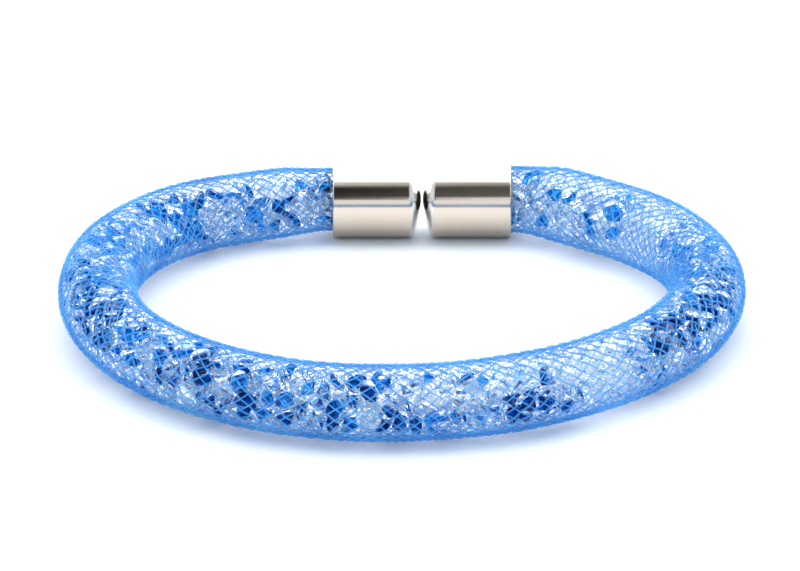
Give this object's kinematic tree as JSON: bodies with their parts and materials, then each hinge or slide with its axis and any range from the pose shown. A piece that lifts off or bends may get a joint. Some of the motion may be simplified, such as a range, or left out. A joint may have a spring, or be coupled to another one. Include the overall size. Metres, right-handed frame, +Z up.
{
  "type": "mesh bracelet",
  "caption": "Closed round bracelet: a soft net tube filled with loose cut crystals, joined by a two-part round magnetic clasp.",
  "frame": {"origin": "on the resting plane, under the middle of the bracelet's outline", "axes": "+Z up from the surface that the bracelet lies on, +Y towards the clasp, +X along the clasp's axis"},
  "size_m": [0.0704, 0.066, 0.0084],
  "materials": {
    "net": "fine glossy nylon strands in a diamond net, cornflower blue",
    "crystal": "polished cut glass, mostly clear, some mid blue and dark blue",
    "clasp_metal": "polished silver-coloured metal"
  },
  "bodies": {
    "root": {"net_sleeve": "net", "crystals": "crystal", "clasp_half_left": "clasp_metal", "clasp_half_right": "clasp_metal"}
  },
  "joints": []
}
